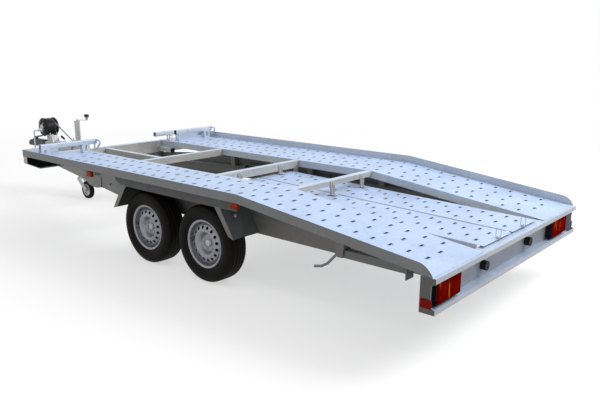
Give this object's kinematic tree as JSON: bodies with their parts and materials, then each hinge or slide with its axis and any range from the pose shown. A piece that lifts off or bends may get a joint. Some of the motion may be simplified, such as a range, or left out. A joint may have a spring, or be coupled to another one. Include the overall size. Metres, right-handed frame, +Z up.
{
  "type": "car carrier trailer",
  "caption": "Open braked car carrier trailer with perforated galvanised runways, sloping rear, stowed loading ramps, strap winch and jockey wheel on a V drawbar",
  "frame": {"origin": "on the ground, at the middle of the overall length and width", "axes": "+X across to the right-hand side, +Y forwards to the coupling, +Z up"},
  "size_m": [2.15, 6.25, 0.944],
  "materials": {
    "galvanised_frame": "satin",
    "galvanised_deck": "satin",
    "galvanised_dull": "matt",
    "red_lens": "gloss",
    "amber_lens": "gloss",
    "black_rubber": "matt",
    "black_plastic": "satin",
    "webbing": "matt",
    "dark_steel": "satin",
    "zinc_steel": "satin",
    "tyre": "matt",
    "silver_rim": "satin"
  },
  "bodies": {
    "chassis": {"front_crossbeam": "galvanised_frame", "second_crossbeam": "galvanised_frame", "middle_crossbeam": "galvanised_frame", "bend_crossbeam": "galvanised_frame", "rear_beam": "galvanised_frame", "main_beam_left": "galvanised_frame", "main_beam_right": "galvanised_frame", "runway_left": "galvanised_deck", "runway_right": "galvanised_deck", "ramp_left": "galvanised_deck", "ramp_right": "galvanised_deck", "axle_front": "galvanised_dull", "axle_rear": "galvanised_dull", "mudguard_left": "galvanised_dull", "mudguard_right": "galvanised_dull", "tail_lamp_left": "red_lens", "tail_lamp_right": "red_lens", "rubber_buffer_left": "black_rubber", "rubber_buffer_right": "black_rubber", "side_marker_front_left": "amber_lens", "side_marker_front_right": "amber_lens", "side_marker_rear_left": "amber_lens", "side_marker_rear_right": "amber_lens", "wheel_stop_left": "galvanised_deck", "wheel_stop_right": "galvanised_deck", "overrun_housing": "galvanised_frame", "coupling_head": "dark_steel", "winch_post": "galvanised_frame", "winch_drum": "black_plastic", "winch_crank": "zinc_steel", "winch_strap": "webbing", "jockey_tube": "zinc_steel"},
    "wheel_front_left": {"tyre_front_left": "tyre", "rim_front_left": "silver_rim"},
    "wheel_front_right": {"tyre_front_right": "tyre", "rim_front_right": "silver_rim"},
    "wheel_rear_left": {"tyre_rear_left": "tyre", "rim_rear_left": "silver_rim"},
    "wheel_rear_right": {"tyre_rear_right": "tyre", "rim_rear_right": "silver_rim"},
    "jockey_slider": {"jockey_leg": "zinc_steel"},
    "jockey_swivel": {"jockey_fork": "zinc_steel"},
    "jockey_roller": {"jockey_wheel": "black_rubber"},
    "prop_left": {"prop_stand_left": "galvanised_dull"},
    "prop_right": {"prop_stand_right": "galvanised_dull"}
  },
  "joints": [
    {"name": "spin_front_left", "type": "hinge", "parent": "chassis", "child": "wheel_front_left", "pos_m": [-0.868, -0.5, 0.289], "axis": [1, 0, 0], "continuous": true},
    {"name": "spin_front_right", "type": "hinge", "parent": "chassis", "child": "wheel_front_right", "pos_m": [0.868, -0.5, 0.289], "axis": [1, 0, 0], "continuous": true},
    {"name": "spin_rear_left", "type": "hinge", "parent": "chassis", "child": "wheel_rear_left", "pos_m": [-0.868, -1.18, 0.289], "axis": [1, 0, 0], "continuous": true},
    {"name": "spin_rear_right", "type": "hinge", "parent": "chassis", "child": "wheel_rear_right", "pos_m": [0.868, -1.18, 0.289], "axis": [1, 0, 0], "continuous": true},
    {"name": "jockey_height", "type": "slide", "parent": "chassis", "child": "jockey_slider", "axis": [0, 0, 1], "range_m": [-0.05, 0.15]},
    {"name": "jockey_caster", "type": "hinge", "parent": "jockey_slider", "child": "jockey_swivel", "pos_m": [0, 2.03, 0.22], "axis": [0, 0, 1], "continuous": true},
    {"name": "jockey_spin", "type": "hinge", "parent": "jockey_swivel", "child": "jockey_roller", "pos_m": [0, 1.9, 0.1], "axis": [1, 0, 0], "continuous": true},
    {"name": "prop_left_fold", "type": "hinge", "parent": "chassis", "child": "prop_left", "pos_m": [-0.93, -2.425, 0.488], "axis": [1, 0, 0], "range_deg": [0, 90]},
    {"name": "prop_right_fold", "type": "hinge", "parent": "chassis", "child": "prop_right", "pos_m": [0.93, -2.425, 0.488], "axis": [1, 0, 0], "range_deg": [0, 90]}
  ]
}
